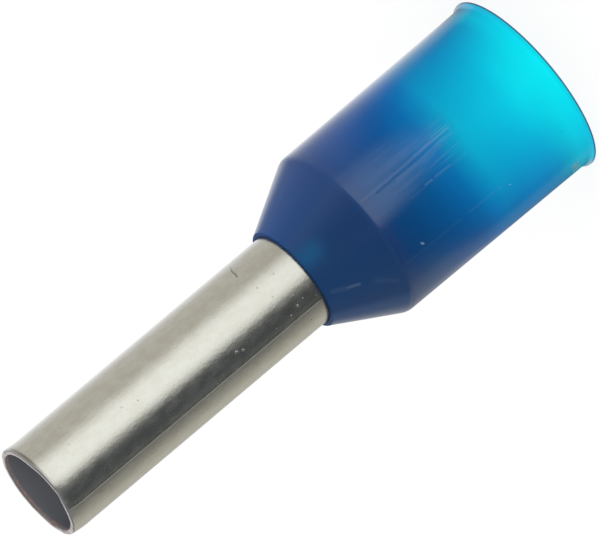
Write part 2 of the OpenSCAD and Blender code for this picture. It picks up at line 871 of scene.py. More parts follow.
class LongGrain(Effect):
    """Noise drawn out along the axis, as sliding or drawing leaves it."""

    name = "long_grain"
    inputs = {"Point": (0.0, 0.0, 0.0), "Across": 10.0, "Along": 1.0, "Detail": 3.0, "Shift": 0.0}
    outputs = {"Value": "Float"}

    def draw(self, sheet: Sheet, read: Any) -> dict[str, NodeSocket]:
        """Scale the point across and along the axis, and read a noise there.

        Args:
            sheet: The group's sheet.
            read: The group's inputs, by name.

        Returns:
            The grain's value.
        """
        shrink = {"X": read["Across"], "Y": read["Across"], "Z": read["Along"]}
        place = read["Point"]
        steps = {"MULTIPLY": sheet.node("CombineXYZ", shrink).outputs[0], "ADD": read["Shift"]}
        for operation, by in steps.items():
            place = sheet.node("VectorMath", {0: place, 1: by}, operation=operation).outputs[0]
        inputs = {"Vector": place, "Scale": 1.0, "Detail": read["Detail"]}
        return {"Value": sheet.node("TexNoise", inputs).outputs[0]}


class SparseSpecks(Effect):
    """Small round specks, scattered sparsely over a surface."""

    name = "sparse_specks"
    inputs = {"Point": (0.0, 0.0, 0.0), "Density": 4.0, "Size": 0.2, "Share": 0.2}
    outputs = {"Mask": "Float"}

    def draw(self, sheet: Sheet, read: Any) -> dict[str, NodeSocket]:
        """Keep the middles of a share of the cells of a cell pattern.

        Args:
            sheet: The group's sheet.
            read: The group's inputs, by name.

        Returns:
            The mask of the specks.
        """
        cells = sheet.node("TexVoronoi", {"Vector": read["Point"], "Scale": read["Density"]}).outputs
        lot = sheet.node("SeparateColor", {0: cells["Color"]}).outputs[0]
        kept = sheet.math("LESS_THAN", lot, read["Share"])
        inside = sheet.step(cells["Distance"], read["Size"], sheet.times(read["Size"], 0.5))
        return {"Mask": sheet.times(inside, kept)}


class ScratchMark(Effect):
    """A fine mark from one place to another on a turned surface, with a slightly ragged edge.

    With both ends at one place it is a round spot.
    """

    name = "scratch_mark"
    inputs = {
        "Point": (0.0, 0.0, 0.0), "Azimuth": 0.0, "Height": 0.0, "Radius": 1.0,
        "From azimuth": 0.0, "From height": 0.0, "To azimuth": 0.0, "To height": 1.0,
        "Half width": 0.05, "Softness": 0.5, "Waver": 0.02, "Strength": 1.0,
    }
    outputs = {"Mask": "Float"}

    def draw(self, sheet: Sheet, read: Any) -> dict[str, NodeSocket]:
        """Measure the distance to the line on the unrolled surface.

        Args:
            sheet: The group's sheet.
            read: The group's inputs, by name.

        Returns:
            The mask of the mark.
        """
        arc = sheet.times(read["Radius"], math.radians(1))
        noise = sheet.node("TexNoise", {"Vector": read["Point"], "Scale": 6.0, "Detail": 2.0})
        sway = sheet.times(sheet.math("SUBTRACT", noise.outputs[0], 0.5), read["Waver"])
        ahead = sheet.math("SUBTRACT", read["Azimuth"], read["From azimuth"])
        span = sheet.math("SUBTRACT", read["To azimuth"], read["From azimuth"])
        u = sheet.math("ADD", sheet.times(ahead, arc), sway)
        v = sheet.math("SUBTRACT", read["Height"], read["From height"])
        run_u = sheet.times(span, arc)
        run_v = sheet.math("SUBTRACT", read["To height"], read["From height"])
        dot = sheet.math("ADD", sheet.times(u, run_u), sheet.times(v, run_v))
        square = sheet.math("ADD", sheet.times(run_u, run_u), sheet.times(run_v, run_v))
        along = sheet.math("DIVIDE", dot, sheet.most(square, SMALLEST_SQUARE), clamp=True)
        off_u = sheet.math("SUBTRACT", u, sheet.times(along, run_u))
        off_v = sheet.math("SUBTRACT", v, sheet.times(along, run_v))
        flat = sheet.node("CombineXYZ", {"X": off_u, "Y": off_v}).outputs[0]
        distance = sheet.node("VectorMath", {0: flat}, operation="LENGTH").outputs["Value"]
        soft = sheet.times(read["Half width"], read["Softness"])
        far = sheet.math("ADD", read["Half width"], soft)
        near = sheet.math("SUBTRACT", read["Half width"], soft)
        return {"Mask": sheet.times(sheet.step(distance, far, near), read["Strength"])}


@dataclass(frozen=True)
class Mark:
    """A scratch, line or spot on a turned surface, in degrees and millimetres.

    Attributes:
        start: Azimuth and height of one end.
        end: Azimuth and height of the other end; the same as the start for a spot.
        half_width: Half its width.
        softness: How much of the half width its edge fades over.
        waver: How far it strays from the straight line.
        strength: How strongly it shows.
    """

    start: tuple[float, float]
    end: tuple[float, float]
    half_width: float
    softness: float = 0.9
    waver: float = 0.02
    strength: float = 1.0

    def values(self) -> dict[str, float]:
        """Return the mark as inputs of its effect, by name."""
        own = {name: getattr(self, name) for name in ("half_width", "softness", "waver", "strength")}
        return own | dict(zip(MARK_ENDS, self.start + self.end))


class Skin(Sheet):
    """The sheet of a turned surface, which effects and marks are placed on.

    Its zones are drawn by spans: each is a smooth step from 0 at its first end to 1 at its second,
    and a zone of several spans is their product.
    """

    def __init__(self, tree: NodeTree) -> None:
        """Take the tree to draw on, and read the surface's place once.

        Args:
            tree: The tree.
        """
        super().__init__(tree)
        place = self.group(TurnedPlace())
        self.point, self.azimuth = place["Point"], place["Azimuth"]
        self.height, self.radius = place["Height"], place["Radius"]

    def zone(self, value: NodeSocket, spans: tuple[Span, ...]) -> NodeSocket:
        """Return the zone that spans of a value draw."""
        return self.times(*(self.step(value, low, high) for low, high in spans))

    def up(self, *spans: Span) -> NodeSocket:
        """Return a zone by height."""
        return self.zone(self.height, spans)

    def around(self, *spans: Span) -> NodeSocket:
        """Return a zone by azimuth."""
        return self.zone(self.azimuth, spans)

    def aside(self, *spans: Span) -> NodeSocket:
        """Return a zone by azimuth that is the same on both sides."""
        return self.zone(self.math("ABSOLUTE", self.azimuth), spans)

    def out(self, *spans: Span) -> NodeSocket:
        """Return a zone by distance from the axis."""
        return self.zone(self.radius, spans)

    def grain(self, across: float, along: float, detail: float = 3.0, shift: float = 0.0) -> NodeSocket:
        """Return long grain with so many features a millimetre across and along the axis."""
        values = {"across": across, "along": along, "detail": detail, "shift": shift}
        return self.group(LongGrain(), point=self.point, **values)["Value"]

    def specks(self, density: float, size: float, share: float) -> NodeSocket:
        """Return a mask of sparse specks."""
        values = {"density": density, "size": size, "share": share}
        return self.group(SparseSpecks(), point=self.point, **values)["Mask"]

    def marks(self, *marks: Mark) -> NodeSocket:
        """Return the mask of one or more marks together."""
        return self.most(*(self._mark(mark) for mark in marks))

    def _mark(self, mark: Mark) -> NodeSocket:
        """Return the mask of one mark."""
        place = {name: getattr(self, name) for name in ("point", "azimuth", "height", "radius")}
        return self.group(ScratchMark(), **place, **mark.values())["Mask"]

    def bump(self, height: NodeSocket) -> NodeSocket:
        """Return the normal of a surface that is raised by a height in millimetres."""
        inputs = {"Height": height, "Distance": MM, "Strength": 1.0}
        return self.node("Bump", inputs).outputs["Normal"]


def new_material(name: str) -> tuple[Material, NodeSocket]:
    """Start a material with an empty tree.

    Args:
        name: The material's name.

    Returns:
        The material, and the socket that takes its shader.
    """
    material = bpy.data.materials.new(name)
    material.use_nodes = True
    material.node_tree.nodes.clear()
    output = material.node_tree.nodes.new("ShaderNodeOutputMaterial")
    return material, output.inputs["Surface"]


# Finishes


@dataclass(frozen=True)
class TinFinish:
    """Satin tin plating on drawn copper, with bare copper at the sheared edge.

    Attributes:
        sizes: The ferrule's sizes.
        bright: Colour of the plating.
        dull: Colour of its duller patches.
        tint: Faint yellow-green film.
        bore: Colour of the dull bore, darkened with painted shade deep inside the tube.
        copper: Bare copper at the sheared edge.
        sheared: Pale metal of the sheared face.
        burr: Duller metal just inside the sheared edge.
        grime_and_shade: Colour in pits and scratches, and of the painted shade under the sheared lip.
        roughness: Roughness of the plating.
        grain_height: Height of its fine grain.
        pit_depth: Depth of its pits.
        glint_height: Height of its glints.
        pits: Larger dark pits and the hair scratch.
        glints: Small bright pits.
    """

    sizes: FerruleSizes
    bright: Color = (0.775, 0.770, 0.705)
    dull: Color = (0.715, 0.705, 0.630)
    tint: Color = (0.70, 0.72, 0.58)
    bore: Color = (0.145, 0.153, 0.170)
    copper: Color = (0.42, 0.245, 0.19)
    sheared: Color = (0.70, 0.64, 0.62)
    burr: Color = (0.25, 0.205, 0.20)
    grime_and_shade: Color = (0.20, 0.19, 0.165)
    roughness: float = 0.27
    grain_height: float = 0.0024
    pit_depth: float = 0.004
    glint_height: float = 0.008
    pits: tuple[Mark, ...] = (
        Mark((-67, 8.50), (-60, 8.56), 0.016, waver=0.06, strength=0.5),
        Mark((-60, 8.57), (-52, 8.62), 0.015, waver=0.10),
        Mark((-51, 8.60), (-45, 8.64), 0.020, waver=0.10),
        Mark((-14, 12.9), (-13, 12.85), 0.016, softness=0.5, strength=0.3),
        Mark((49, 9.6), (49, 9.6), 0.018, softness=0.5, strength=0.6),
        Mark((52, 7.9), (52, 7.9), 0.018, softness=0.5),
        Mark((-20, 14.4), (-20, 14.4), 0.016, softness=0.5, strength=0.5),
        Mark((45, 14.5), (46, 14.35), 0.012, softness=0.5, strength=0.6),
    )
    glints: tuple[Mark, ...] = (
        Mark((21, 9.90), (21, 9.90), 0.030),
        Mark((24, 9.74), (24, 9.74), 0.026),
        Mark((25, 8.05), (25, 8.05), 0.024),
    )

    def material(self) -> Material:
        """Make the finish.

        Returns:
            The material.
        """
        material, output = new_material("tinned_copper")
        skin = Skin(material.node_tree)
        s = self.sizes
        mottle = skin.grain(across=5.0, along=3.0, detail=4.0)
        fine = skin.grain(across=15.0, along=9.0, shift=7.0)
        drawn = skin.grain(across=9.0, along=0.35, detail=2.0, shift=3.0)
        specks = skin.specks(density=6.0, size=0.15, share=0.05)
        pits = skin.most(skin.marks(*self.pits), skin.times(specks, 0.6))
        grit = skin.specks(density=8.0, size=0.19, share=0.14)
        glints = skin.most(skin.marks(*self.glints), skin.times(grit, skin.up((9.6, 7.9))))
        wall = skin.out((s.bore_r + 0.05, s.bore_r + 0.03))
        # painted shade: the bore goes dark a little below the tip
        inside = skin.times(wall, skin.up((s.tip_z - 0.07, s.tip_z - 0.12)))
        matt = skin.times(wall, skin.up((s.tip_z - 0.02, s.tip_z - 0.05)))
        color = self._color(skin, mottle, fine, pits)
        rough = skin.layered(self.roughness - 0.07, (mottle, 0.14), (pits, 0.25))
        height = skin.layered(
            skin.times(fine, self.grain_height),
            (drawn, self.grain_height / 2),
            (pits, -self.pit_depth),
            (glints, self.glint_height),
        )
        shader = skin.node(
            "BsdfPrincipled",
            {
                # painted shade deep in the bore
                "Base Color": skin.blend(inside, color, self.bore),
                "Roughness": skin.between(matt, rough, 0.6),
                "Metallic": skin.between(matt, 1.0, 0.25),
                "Normal": skin.bump(height),
            },
        )
        skin.feed(output, shader.outputs[0])
        return material

    def _color(
        self, skin: Skin, mottle: NodeSocket, fine: NodeSocket, pits: NodeSocket
    ) -> NodeSocket:
        """Draw the plating's colour with its film, pits and bare sheared edge.

        Args:
            skin: The tube's surface.
            mottle: Its broad patches.
            fine: Its fine grain.
            pits: The mask of its pits.

        Returns:
            The colour.
        """
        s, tip = self.sizes, self.sizes.tip_z
        plating = skin.blend(skin.step(mottle, 0.35, 0.65), self.dull, self.bright)
        film = skin.times(skin.step(fine, 0.52, 0.72), 0.45)
        wall = skin.out((s.bore_r + 0.06, s.bore_r + 0.03))
        inner = skin.out((s.bore_r + 0.09, s.bore_r + 0.03))
        foot = skin.math("SUBTRACT", tip, skin.between(inner, 0.045, 0.12))
        face = skin.step(skin.height, foot, skin.math("ADD", foot, 0.03))
        below = skin.up((tip - 0.015, tip - 0.04))
        torn = skin.step(skin.grain(across=8.0, along=5.0, shift=11.0), 0.50, 0.64)
        bare = skin.times(inner, torn, skin.up((tip - 0.20, tip - 0.05)), 0.70)
        rag = skin.step(skin.grain(across=1.2, along=1.0, detail=2.0, shift=17.0), 0.35, 0.65)
        # painted shade on the outside just under the sheared lip, where it rolls over
        under = skin.up((tip - 0.14, tip - 0.08), (tip - 0.03, tip - 0.05))
        shade = skin.times(under, rag, skin.out((s.tube_r - 0.02, s.tube_r - 0.005)), 0.75)
        return skin.painted(
            plating,
            (film, self.tint),
            (skin.times(pits, 0.7), self.grime_and_shade),
            (face, self.sheared),
            (skin.times(wall, below), self.burr),
            (bare, self.copper),
            # painted shade under the lip
            (shade, self.grime_and_shade),
        )


@dataclass(frozen=True)
class BluePlasticFinish:
    """Translucent blue plastic: navy over the metal inside it, cyan where light comes through.

    Attributes:
        sizes: The ferrule's sizes.
        middle: Colours up the front and back, by height in millimetres, with painted light: cyan where
            light shines through the thin wall, navy over the metal inside.
        left: Colours up the side at +X, by height in millimetres, with that painted light and the
            painted shade of that side.
        right: Colours up the side at -X, by height in millimetres, with that painted light and the
            painted shade of that side.
        glow: Teal light in the plastic beside the tube.
        edge: Painted shade: a dark line round the rim's upright edge.
        lip: Painted shade in the gap where the front lip meets the tube.
        bead_tip_reflection: Painted reflection: paler plastic where the rim's bead is seen from its
            side.
        scuff: Dry plastic in the nick.
        torn: Pale spots in the nick.
        wall: Light that gathers in the wall where it is seen edge on.
        dust_and_highlight: Colour of a speck, and of the painted highlight lines on the rubbed side.
        deep: Colour of a dark speck.
        through: Share of light that the wall lets through.
        roughness: Roughness under the gloss.
        drag_height: Height of the drag lines.
        wave_height: Height of the broad waves in the moulded surface.
        cut_depth: Depth of scratches and grooves.
        polished: The side that kept its gloss, by azimuth.
        rubbed: The side that was dragged over something, by azimuth.
        streak_azimuths: The part of that side with painted highlight streaks, by azimuth.
        streak_heights: The same part by height.
        gleam: Where the teal light shows.
        scratches: Fine scratches, coloured light; on the rubbed side that light is a painted highlight.
        grooves: Dull grooves in the rubbed side.
        flecks: Light specks.
        shadows: Dark specks.
        nicks: The nick near the rim.
        tears: Pale spots in the nick.
    """

    sizes: FerruleSizes
    # Painted light through the wall, by height, in these three tables: cyan where the thin wall is lit
    # from behind, navy over the metal inside, and each side in its own painted shade.
    middle: tuple[Stop, ...] = (
        (0.15, (0.0, 0.780, 0.860)), (0.40, (0.0, 0.735, 0.805)), (0.70, (0.0, 0.695, 0.780)),
        (1.00, (0.0, 0.645, 0.757)), (1.40, (0.0, 0.522, 0.683)), (1.80, (0.0, 0.457, 0.637)),
        (2.20, (0.0, 0.412, 0.597)), (2.65, (0.0, 0.380, 0.560)), (3.00, (0.0, 0.265, 0.465)),
        (3.40, (0.0, 0.140, 0.365)), (3.80, (0.0, 0.104, 0.305)), (4.20, (0.0, 0.074, 0.235)),
        (4.80, (0.0, 0.050, 0.177)), (5.25, (0.001, 0.041, 0.150)), (5.40, (0.003, 0.0375, 0.142)),
        (5.52, (0.009, 0.035, 0.131)), (5.62, (0.008, 0.033, 0.126)), (5.70, (0.003, 0.028, 0.113)),
        (5.80, (0.0, 0.022, 0.097)), (7.40, (0.0, 0.025, 0.096)),
    )
    left: tuple[Stop, ...] = (
        (0.15, (0.0, 0.520, 0.760)), (0.40, (0.0, 0.500, 0.710)), (0.70, (0.0, 0.320, 0.580)),
        (1.00, (0.0, 0.260, 0.530)), (1.40, (0.0, 0.235, 0.505)), (1.80, (0.0, 0.216, 0.487)),
        (2.20, (0.0, 0.210, 0.470)), (2.65, (0.0, 0.190, 0.462)), (3.00, (0.0, 0.135, 0.425)),
        (3.40, (0.0, 0.110, 0.368)), (3.80, (0.0, 0.080, 0.305)), (4.20, (0.0, 0.068, 0.284)),
        (4.80, (0.0, 0.056, 0.256)), (5.40, (0.001, 0.044, 0.215)), (5.80, (0.007, 0.040, 0.170)),
        (7.40, (0.006, 0.050, 0.200)),
    )
    right: tuple[Stop, ...] = (
        (0.15, (0.0, 0.560, 0.770)), (0.40, (0.0, 0.540, 0.720)), (0.70, (0.0, 0.390, 0.600)),
        (1.00, (0.0, 0.285, 0.545)), (1.40, (0.0, 0.238, 0.530)), (1.80, (0.0, 0.220, 0.510)),
        (2.20, (0.0, 0.194, 0.468)), (2.65, (0.0, 0.178, 0.428)), (3.00, (0.0, 0.141, 0.400)),
        (3.40, (0.0, 0.094, 0.290)), (3.80, (0.0, 0.070, 0.232)), (4.20, (0.0, 0.056, 0.198)),
        (4.80, (0.0, 0.044, 0.150)), (5.30, (0.001, 0.034, 0.124)), (5.55, (0.006, 0.031, 0.108)),
        (5.66, (0.005, 0.030, 0.104)), (5.73, (0.003, 0.027, 0.095)), (5.80, (0.003, 0.026, 0.092)),
        (7.40, (0.004, 0.028, 0.098)),
    )
    glow: Color = (0.000, 0.075, 0.185)
    edge: Color = (0.070, 0.070, 0.190)
    lip: Color = (0.020, 0.026, 0.080)
    bead_tip_reflection: Color = (0.300, 0.350, 0.440)
    scuff: Color = (0.120, 0.320, 0.410)
    torn: Color = (0.225, 0.395, 0.400)
    wall: Color = (0.430, 0.570, 0.860)
    dust_and_highlight: Color = (0.550, 0.640, 0.720)
    deep: Color = (0.000, 0.100, 0.260)
    through: float = 0.06
    roughness: float = 0.22
    drag_height: float = 0.0014
    wave_height: float = 0.002
    cut_depth: float = 0.004
    polished: tuple[Span, ...] = ((-36.0, -26.0), (18.0, 8.0))
    rubbed: tuple[Span, ...] = ((-42.0, -24.0), (22.0, 8.0))
    streak_azimuths: tuple[Span, ...] = ((-22.0, -12.0), (7.0, 1.0))
    streak_heights: tuple[Span, ...] = ((4.3, 3.3), (2.7, 2.95))
    gleam: Mark = Mark((-8, 7.22), (-8, 7.08), 0.24, softness=0.95, waver=0.1, strength=0.6)
    scratches: tuple[Mark, ...] = (
        Mark((36.0, 6.88), (37.0, 6.66), 0.036, softness=0.95, strength=0.060),
        Mark((33.4, 7.20), (36.0, 6.90), 0.055, strength=0.022),
        Mark((40.0, 6.30), (46.0, 5.95), 0.070, strength=0.014),
        Mark((38.0, 5.60), (38.6, 3.90), 0.020, strength=0.014),
        Mark((38.6, 3.60), (39.0, 2.60), 0.020, strength=0.020),
        # on the rubbed side: painted highlight lines where grooves catch the light
        Mark((7.4, 4.15), (7.5, 3.95), 0.020, strength=0.07),
        Mark((7.5, 3.85), (7.7, 3.40), 0.020, strength=0.055),
        Mark((8.2, 4.60), (8.4, 2.90), 0.014, strength=0.02),
        Mark((-8.8, 5.60), (-9.2, 2.85), 0.020, strength=0.032),
        Mark((-5.4, 4.60), (-5.8, 2.85), 0.018, strength=0.035),
        Mark((-12.6, 4.20), (-12.9, 2.95), 0.016, strength=0.025),
    )
    grooves: tuple[Mark, ...] = (
        Mark((-7.0, 5.15), (-7.6, 2.85), 0.018, waver=0.03, strength=0.75),
        Mark((-10.4, 4.5), (-10.6, 2.95), 0.012, waver=0.03, strength=0.5),
    )
    flecks: tuple[Mark, ...] = (
        Mark((33.6, 5.02), (34.8, 4.98), 0.022, strength=0.26),
        Mark((42, 2.42), (42.4, 2.39), 0.014, strength=0.18),
        Mark((-54, 5.70), (-54, 5.70), 0.018, strength=0.04),
    )
    shadows: tuple[Mark, ...] = (
        Mark((36.5, 0.66), (37.4, 0.61), 0.014, strength=0.26),
        Mark((35.6, 0.70), (35.6, 0.70), 0.012, strength=0.22),
        Mark((-53, 5.66), (-52, 5.62), 0.022, strength=0.35),
        Mark((5, 1.55), (5.6, 1.50), 0.014, strength=0.15),
    )
    nicks: tuple[Mark, ...] = (
        Mark((70.0, 0.60), (81.0, 0.50), 0.095, softness=0.95, waver=0.25, strength=0.60),
    )
    tears: tuple[Mark, ...] = (
        Mark((70.0, 0.62), (76.0, 0.53), 0.050, softness=0.95, waver=0.1, strength=0.55),
        Mark((79.0, 0.56), (83.0, 0.52), 0.040, softness=0.95, waver=0.1, strength=0.40),
    )

    def material(self) -> Material:
        """Make the finish.

        Returns:
            The material.
        """
        material, output = new_material("blue_plastic")
        skin = Skin(material.node_tree)
        flecks, nicks = skin.marks(*self.flecks), skin.marks(*self.nicks)
        scratches, grooves = skin.marks(*self.scratches), skin.marks(*self.grooves)
        rubbed = self._rubbed(skin)
        color = skin.painted(
            self._color(skin),
            # scratches coloured light; on the rubbed side this is painted highlight
            (scratches, self.dust_and_highlight),
            # painted highlight: light streaks along the drag lines where the rubbed side ends
            (self._highlight_streaks(skin, rubbed), self.dust_and_highlight),
            (skin.marks(*self.shadows), self.deep),
            (flecks, self.dust_and_highlight),
            (nicks, self.scuff),
            (skin.marks(*self.tears), self.torn),
        )
        drag = skin.grain(across=11.0, along=0.28)
        wave = skin.grain(across=1.2, along=0.8, detail=1.0, shift=5.0)
        streak = skin.times(skin.step(drag, 0.62, 0.38), rubbed)
        dull = skin.most(nicks, flecks, self._front(skin))
        lost = (skin.rest(dull), skin.rest(grooves))
        gloss = skin.times(self._gloss(skin), skin.layered(1.0, (streak, -0.5)), *lost)
        height = skin.layered(
            skin.times(drag, rubbed, self.drag_height),
            (wave, self.wave_height),
            (grooves, -self.cut_depth),
            (scratches, -self.cut_depth),
        )
        normal = skin.bump(height)
        shader = skin.node(
            "BsdfPrincipled",
            {
                "Base Color": color,
                "Roughness": skin.layered(self.roughness, (dull, 0.4)),
                "IOR": 1.5,
                "Specular IOR Level": 0.5,
                "Specular Tint": (0.2, 0.6, 1.0),
                "Coat Weight": gloss,
                "Coat Roughness": 0.08,
                "Coat IOR": 1.6,
                "Normal": normal,
                "Coat Normal": normal,
            },
        )
        passing = skin.node("BsdfTranslucent", {"Color": color, "Normal": normal})
        mixed = skin.either(self.through, shader.outputs[0], passing.outputs[0])
        skin.feed(output, mixed)
        return material

    def _cone(self, skin: Skin) -> NodeSocket:
        """Return the mask of the cone."""
        return skin.up((self.sizes.shoulder_z - 0.05, self.sizes.shoulder_z + 0.05))

    def _front(self, skin: Skin) -> NodeSocket:
        """Return the mask of the front lip's flat face."""
        return skin.up((self.sizes.front_z - 0.018, self.sizes.front_z - 0.006))

    def _gloss(self, skin: Skin) -> NodeSocket:
        """Draw how glossy the plastic is where nothing has marked it.

        Args:
            skin: The collar's surface.

        Returns:
            The gloss.
        """
        s = self.sizes
        cone, polish = self._cone(skin), skin.around(*self.polished)
        kept = skin.times(polish, skin.up((2.2, 3.2)))
        light_end = skin.math("SUBTRACT", skin.up((5.2, 3.6)), kept, clamp=True)
        satin = skin.most(
            skin.times(cone, skin.aside((50.0, 74.0)), 0.75),
            skin.times(skin.around((54.0, 72.0)), 0.7),
            skin.times(light_end, skin.aside((66.0, 48.0)), 0.75),
            skin.up((s.bead_height + 0.03, s.bead_height)),
        )
        left = skin.math("SUBTRACT", skin.around((-64.0, -76.0)), cone, clamp=True)
        gloss = skin.layered(0.75, (skin.most(polish, left), 0.25))
        return skin.times(gloss, skin.rest(satin))

    def _rubbed(self, skin: Skin) -> NodeSocket:
        """Return the mask of the rubbed side, which fades up to the shoulder."""
        fading = skin.layered(0.2, (skin.up((5.3, 3.9)), 0.8))
        return skin.times(skin.around(*self.rubbed), fading, skin.up((5.8, 5.6)))

    def _highlight_streaks(self, skin: Skin, rubbed: NodeSocket) -> NodeSocket:
        """Return the mask of the fine light lines where the rubbed side ends."""
        # painted highlight: fine light streaks where the reflection on the rubbed side ends
        lines = skin.step(skin.grain(across=20.0, along=0.7, detail=2.0, shift=9.0), 0.56, 0.70)
        return skin.times(lines, skin.up(*self.streak_heights), skin.around(*self.streak_azimuths), rubbed, 0.07)

    def _body(self, skin: Skin) -> NodeSocket:
        """Draw the colours of the front, the back and both sides, by height.

        Args:
            skin: The collar's surface.

        Returns:
            The colour.
        """
        top = self.sizes.front_z
        cloud = skin.grain(across=0.7, along=0.7, detail=2.0, shift=2.0)
        sway = skin.times(skin.math("SUBTRACT", cloud, 0.5), 0.4, skin.up((5.4, 4.9)))
        level = skin.math("DIVIDE", skin.math("ADD", skin.height, sway), top)
        # Painted light: these colours carry the glow through the thin wall near the rim and the shade
        # that differs from the front to the sides.
        middle, left, right = (
            skin.ramp(level, [(height / top, color) for height, color in stops])
            for stops in (self.middle, self.left, self.right)
        )
        turn = skin.math("SINE", skin.math("RADIANS", skin.math("ADD", skin.azimuth, 1.5)))
        flank = skin.blend(skin.step(turn, -0.2, 0.2), left, right)
        side = skin.math("POWER", skin.math("ABSOLUTE", turn), 1.5)
        return skin.blend(skin.math("MULTIPLY", side, 1.25, clamp=True), middle, flank)

    def _wall_light(self, skin: Skin) -> NodeSocket:
        """Draw how much light gathers in the wall at both sides.

        Args:
            skin: The collar's surface.

        Returns:
            The share of it.
        """
        sides = skin.most(
            skin.times(skin.around((-59.0, -69.0)), 0.06),
            skin.times(skin.around((59.0, 69.0)), 0.05),
        )
        pale = skin.times(skin.around((-60.0, -84.0), (-150.0, -88.0)), skin.up((2.6, 0.2)))
        flanks = skin.layered(
            skin.times(skin.around((56.0, 68.0)), 0.045), (skin.around((-56.0, -68.0)), 0.02)
        )
        low = skin.times(sides, skin.up((4.6, 3.4)))
        return skin.layered(low, (pale, 0.46), (self._cone(skin), flanks))

    def _color(self, skin: Skin) -> NodeSocket:
        """Draw the plastic's colour, from its light rim to its dark cone.

        Args:
            skin: The collar's surface.

        Returns:
            The colour.
        """
        s = self.sizes
        bead = skin.up((s.bead_height + 0.02, s.bead_height - 0.06))
        # painted shade: a dark line on the rim's upright edge
        line = skin.times(
            skin.up((s.bead_edge + 0.01, s.bead_edge - 0.015)),
            skin.out((s.socket_r + 0.1, s.socket_r + 0.2)),
        )
        # painted shade where the front lip's face meets the tube
        joint_shade = skin.out((s.grip_r + 0.06, s.grip_r + 0.025))
        return skin.painted(
            self._body(skin),
            (self._wall_light(skin), self.wall),
            (skin.marks(self.gleam), self.glow),
            # painted shade: the bead a little darker, against the light that its upturned slope catches
            (skin.times(bead, 0.12), BLACK),
            # painted reflection at the ends of the rim's bead, where it is seen from its side
            (skin.times(skin.aside((76.0, 86.0), (120.0, 98.0)), bead, 0.6), self.bead_tip_reflection),
            # painted shade round the rim's edge
            (skin.times(line, 0.85), self.edge),
            # painted shade in the gap between the front lip and the tube
            (skin.times(self._front(skin), joint_shade, 0.7), self.lip),
        )


# Studio


class Ray(Enum):
    """The kinds of ray that a light path node can tell apart, as it names them."""

    CAMERA = "Is Camera Ray"
    GLOSSY = "Is Glossy Ray"
    TRANSMISSION = "Is Transmission Ray"


def ray_share(sheet: Sheet, *rays: Ray) -> NodeSocket:
    """Return 1 where the ray is one of these kinds."""
    path = sheet.node("LightPath").outputs
    return sheet.most(*(path[ray.value] for ray in rays))


class CardRing(Effect):
    """What stands round the object in the studio, as polished metal mirrors it.

    White, grey and black cards, by the direction in which they stand, in degrees. The far cards
    have colours. The near ones are plain greys, and reach from the object to an edge, in
    millimetres.
    """

    name = "card_ring"
    inputs = {"Direction": (0.0, 0.0, 0.0)}
    outputs = {"Far color": "Color", "Near color": "Color", "Near edge": "Float"}
    far_shades: list[Stop] = [
        (-180, (1.0, 1.0, 1.0)), (-160, (0.890, 0.900, 0.930)), (-140, (0.640, 0.640, 0.660)),
        (-120, (0.490, 0.475, 0.455)), (-100, (0.467, 0.455, 0.420)), (-61, (0.435, 0.420, 0.385)),
        (-53, (0.600, 0.590, 0.560)), (-44, (0.740, 0.740, 0.720)), (-36, (0.920, 0.930, 0.925)),
        (0, (0.955, 0.965, 0.965)), (8, (0.890, 0.900, 0.890)), (15, (0.560, 0.560, 0.550)),
        (22, (0.110, 0.115, 0.120)), (30, (0.048, 0.054, 0.060)), (62, (0.048, 0.054, 0.060)),
        (74, (0.120, 0.122, 0.120)), (84, (0.200, 0.200, 0.190)), (96, (0.255, 0.245, 0.225)),
        (112, (0.370, 0.360, 0.320)), (128, (0.450, 0.440, 0.400)), (144, (0.450, 0.440, 0.405)),
        (160, (0.440, 0.440, 0.430)), (180, (1.0, 1.0, 1.0)),
    ]
    near_greys: list[tuple[float, float]] = [
        (-180, 0.95), (-160, 0.95), (-148, 0.78), (-132, 0.62), (-120, 0.38), (-108, 0.24), (-98, 0.08),
        (-86, 0.03), (110, 0.03), (132, 0.10), (156, 0.20), (168, 0.45), (180, 0.90),
    ]
    near_edges: list[tuple[float, float]] = [
        (-180, 0.0), (-132, 9.0), (-110, 10.0), (-80, 12.5), (-60, 14.3), (-46, 13.0), (-30, 11.5),
        (-10, 11.0), (4, 13.5), (11, 15.5), (28, 16.5), (66, 16.0), (88, 13.5), (110, 11.0),
        (132, 11.0), (156, 8.0), (180, 0.0),
    ]
    edge_scale = 20.0

    def draw(self, sheet: Sheet, read: Any) -> dict[str, NodeSocket]:
        """Read the direction's azimuth and look its cards up.

        Args:
            sheet: The group's sheet.
            read: The group's inputs, by name.

        Returns:
            The far and the near card's colours, and where the near card ends.
        """
        axes = sheet.node("SeparateXYZ", {0: read["Direction"]}).outputs
        share = sheet.math("MULTIPLY_ADD", sheet.azimuth_of(axes), 1 / 360, 0.5)
        greys = [(place, (grey,) * 3) for place, grey in self.near_greys]
        edges = [(place, (edge / self.edge_scale,) * 3) for place, edge in self.near_edges]
        far, near, edge = (
            sheet.ramp(share, [(place / 360 + 0.5, color) for place, color in stops])
            for stops in (self.far_shades, greys, edges)
        )
        level = sheet.node("RGBToBW", {0: edge}).outputs[0]
        reach = sheet.times(level, self.edge_scale)
        return {"Far color": far, "Near color": near, "Near edge": reach}


